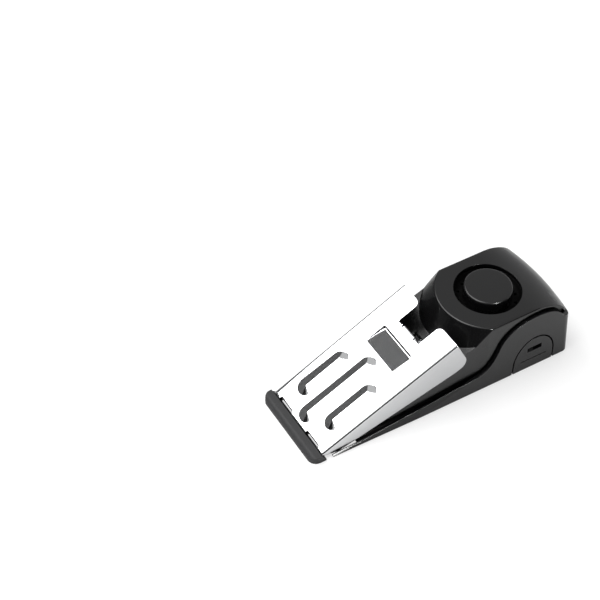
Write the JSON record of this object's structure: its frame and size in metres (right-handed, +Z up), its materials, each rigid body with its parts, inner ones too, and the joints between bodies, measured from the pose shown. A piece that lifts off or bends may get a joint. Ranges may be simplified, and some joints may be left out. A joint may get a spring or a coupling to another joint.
{
  "type": "door_stop_alarm",
  "caption": "Wedge door stop alarm: black plastic housing with a sprung chrome pressure plate, round siren cap, slide switch, battery bay and rubber nose strip",
  "frame": {"origin": "Centre of the bounding box's underside, on the floor that the part stands on.", "axes": "+X runs from the thin nose to the siren head, +Z is up, and the arched switch panel is on the -Y side."},
  "size_m": [0.1492, 0.0494, 0.0425],
  "materials": {
    "black_plastic": "fine satin moulding",
    "deep_black_plastic": "satin",
    "soft_rubber": "dull, slightly rough",
    "pad_rubber": "dull",
    "chrome_plate": "bright plated sheet steel",
    "steel": "zinc plated",
    "brass": "plain rolled sheet",
    "white_ceramic": "dull, silvered",
    "circuit_board": "solder mask, glossy",
    "ferrite": "dull",
    "sleeve_plastic": "shrunk sleeve",
    "resistor_body": "lacquered",
    "battery_jacket": "plain lacquered steel jacket",
    "red_insulation": "soft wire insulation",
    "black_insulation": "soft wire insulation",
    "white_insulation": "soft wire insulation"
  },
  "bodies": {
    "housing": {"lower_shell": "black_plastic", "upper_shell": "black_plastic", "nose_strip": "soft_rubber", "switch_panel": "black_plastic", "hinge_pin": "steel", "plate_spring": "steel", "trigger_guide": "deep_black_plastic", "trigger_board": "circuit_board", "contact_dome": "steel", "trigger_spring": "steel", "siren_grille": "black_plastic", "siren_cup": "deep_black_plastic", "sounder_disc": "brass", "sounder_ceramic": "white_ceramic", "circuit_board": "circuit_board", "boost_coil": "ferrite", "capacitor": "sleeve_plastic", "transistor": "deep_black_plastic", "control_chip": "deep_black_plastic", "resistor_1": "resistor_body", "resistor_2": "resistor_body", "battery": "battery_jacket", "battery_snap": "deep_black_plastic", "slide_switch_case": "steel", "front_pad": "pad_rubber", "side_pad_left": "pad_rubber", "side_pad_right": "pad_rubber", "case_screw_1": "steel", "case_screw_2": "steel", "case_screw_3": "steel", "case_screw_4": "steel", "board_screw_1": "steel", "board_screw_2": "steel", "board_screw_3": "steel", "battery_lead_red": "red_insulation", "battery_lead_black": "black_insulation", "trigger_lead_front": "white_insulation", "trigger_lead_rear": "white_insulation", "siren_lead_red": "red_insulation", "siren_lead_black": "black_insulation"},
    "plate": {"wedge_plate": "chrome_plate"},
    "trigger": {"trigger_plunger": "deep_black_plastic"},
    "switch_knob": {"slide_switch_knob": "deep_black_plastic"},
    "door": {"battery_door": "black_plastic"}
  },
  "joints": [
    {"name": "plate_hinge", "type": "hinge", "parent": "housing", "child": "plate", "pos_m": [-0.06525, 0, 0.00256], "axis": [0, 1, 0], "range_deg": [0, 6], "stiffness_Nm_per_rad": 2, "springref_deg": -1.72, "deforming": ["plate_spring"]},
    {"name": "trigger_slide", "type": "slide", "parent": "housing", "child": "trigger", "axis": [0, 0, -1], "range_m": [0, 0.0069], "deforming": ["trigger_spring"]},
    {"name": "switch_slide", "type": "slide", "parent": "housing", "child": "switch_knob", "axis": [1, 0, 0], "range_m": [0, 0.005]},
    {"name": "battery_door_hinge", "type": "hinge", "parent": "housing", "child": "door", "pos_m": [0.01865, 0.001, 0.0006], "axis": [0, 1, 0], "range_deg": [0, 55]}
  ],
  "couplings": [
    {"joint": "trigger_slide", "follows": "plate_hinge", "m_per_rad": 0.0642}
  ]
}
